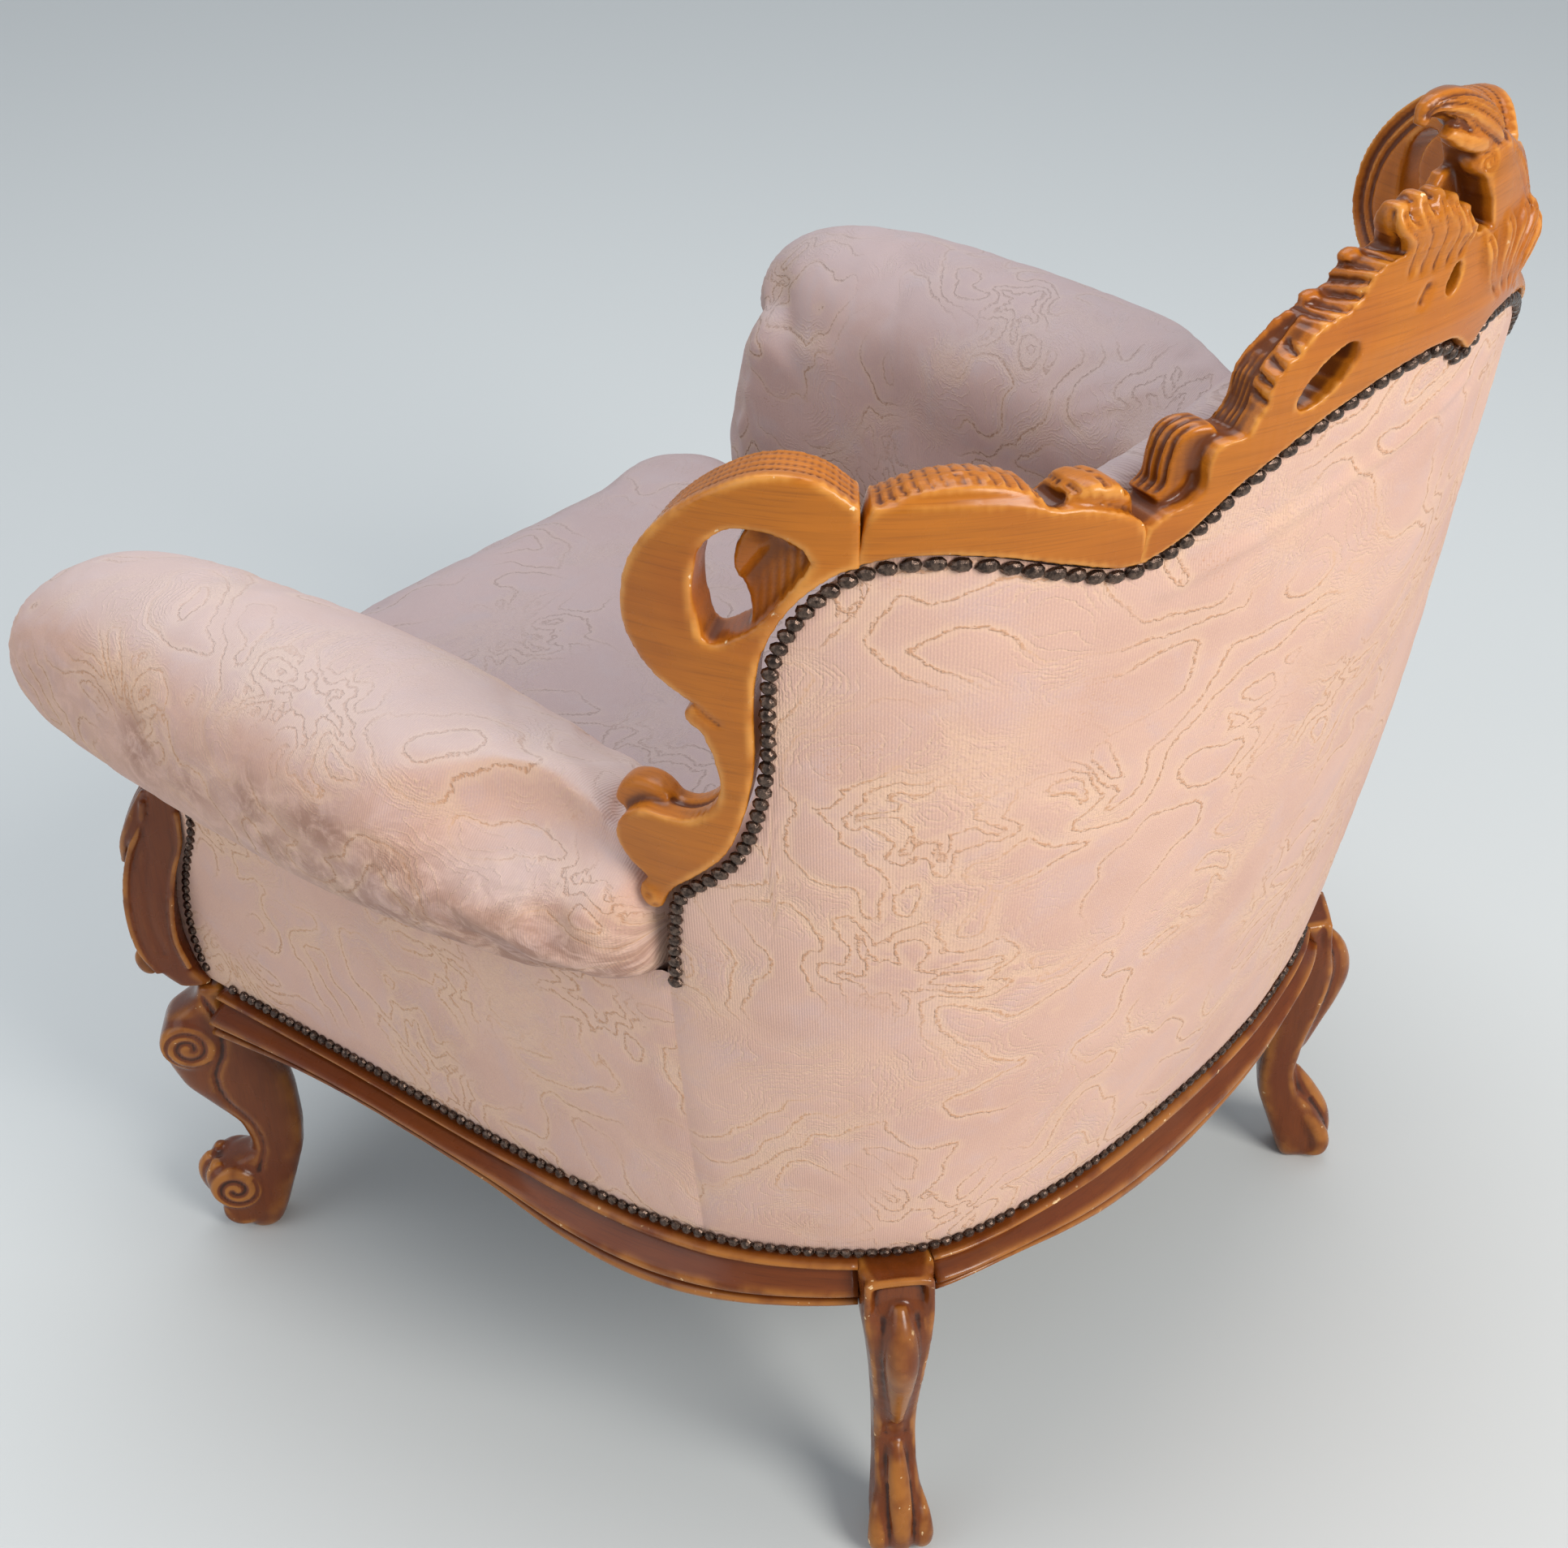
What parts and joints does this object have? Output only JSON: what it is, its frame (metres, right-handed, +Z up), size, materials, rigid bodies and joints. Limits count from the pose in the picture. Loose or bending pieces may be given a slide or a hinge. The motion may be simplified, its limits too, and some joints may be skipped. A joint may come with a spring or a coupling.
{
  "type": "upholstered armchair",
  "caption": "Old upholstered armchair with round padded arms, carved and pierced show-wood back frame, moulded base rail and cabriole legs.",
  "frame": {"origin": "on the floor, under the middle of the chair's outer box", "axes": "+Z up, the chair faces -Y, +X towards the sitter's left arm"},
  "size_m": [0.9516, 0.9435, 1.087],
  "materials": {
    "dark_wood": "red-brown stained and lacquered wood, semi-gloss, golden where it is rubbed",
    "honey_wood": "honey-coloured lacquered wood, semi-gloss, dark in the carving, light on rubbed edges",
    "raw_wood": "plain sawn frame timber, matt",
    "cover_fabric": "dusty pink quilted upholstery fabric with a fine rib, raised wandering pattern, dirt patches",
    "webbing": "woven strap",
    "lining": "black dust lining",
    "nail_bronze": "dark antiqued bronze nail heads, rubbed bright on top"
  },
  "bodies": {
    "root": {"base_rail_back": "dark_wood", "base_rail_left": "dark_wood", "base_rail_right": "dark_wood", "base_rail_front": "dark_wood", "front_leg_left": "dark_wood", "front_leg_right": "dark_wood", "rear_leg_left": "dark_wood", "rear_leg_right": "dark_wood", "arm_post_left": "dark_wood", "arm_post_right": "dark_wood", "side_scroll_left": "honey_wood", "side_scroll_right": "honey_wood", "shoulder_rail_left": "honey_wood", "shoulder_rail_right": "honey_wood", "crest_rail": "honey_wood", "seat_frame_back": "raw_wood", "seat_frame_left": "raw_wood", "seat_frame_right": "raw_wood", "seat_frame_front": "raw_wood", "rear_corner_block_left": "raw_wood", "rear_corner_block_right": "raw_wood", "front_corner_block_left": "raw_wood", "front_corner_block_right": "raw_wood", "back_upright_left": "raw_wood", "back_upright_right": "raw_wood", "back_stretcher": "raw_wood", "arm_rail_left": "raw_wood", "arm_rail_right": "raw_wood", "seat_strap_long_1": "webbing", "seat_strap_long_2": "webbing", "seat_strap_long_3": "webbing", "seat_strap_long_4": "webbing", "seat_strap_cross_1": "webbing", "seat_strap_cross_2": "webbing", "seat_strap_cross_3": "webbing", "back_strap_1": "webbing", "back_strap_2": "webbing", "back_strap_3": "webbing", "outside_back": "cover_fabric", "side_cover_left": "cover_fabric", "side_cover_right": "cover_fabric", "arm_roll_left": "cover_fabric", "arm_roll_right": "cover_fabric", "inside_arm_left": "cover_fabric", "inside_arm_right": "cover_fabric", "inside_back": "cover_fabric", "seat_pad": "cover_fabric", "front_cover": "cover_fabric", "dust_cover": "lining", "nail_row_top": "nail_bronze", "nail_row_base": "nail_bronze", "nail_row_post_left": "nail_bronze", "nail_row_post_right": "nail_bronze", "arm_rosette_left": "dark_wood", "arm_rosette_right": "dark_wood"}
  },
  "joints": []
}
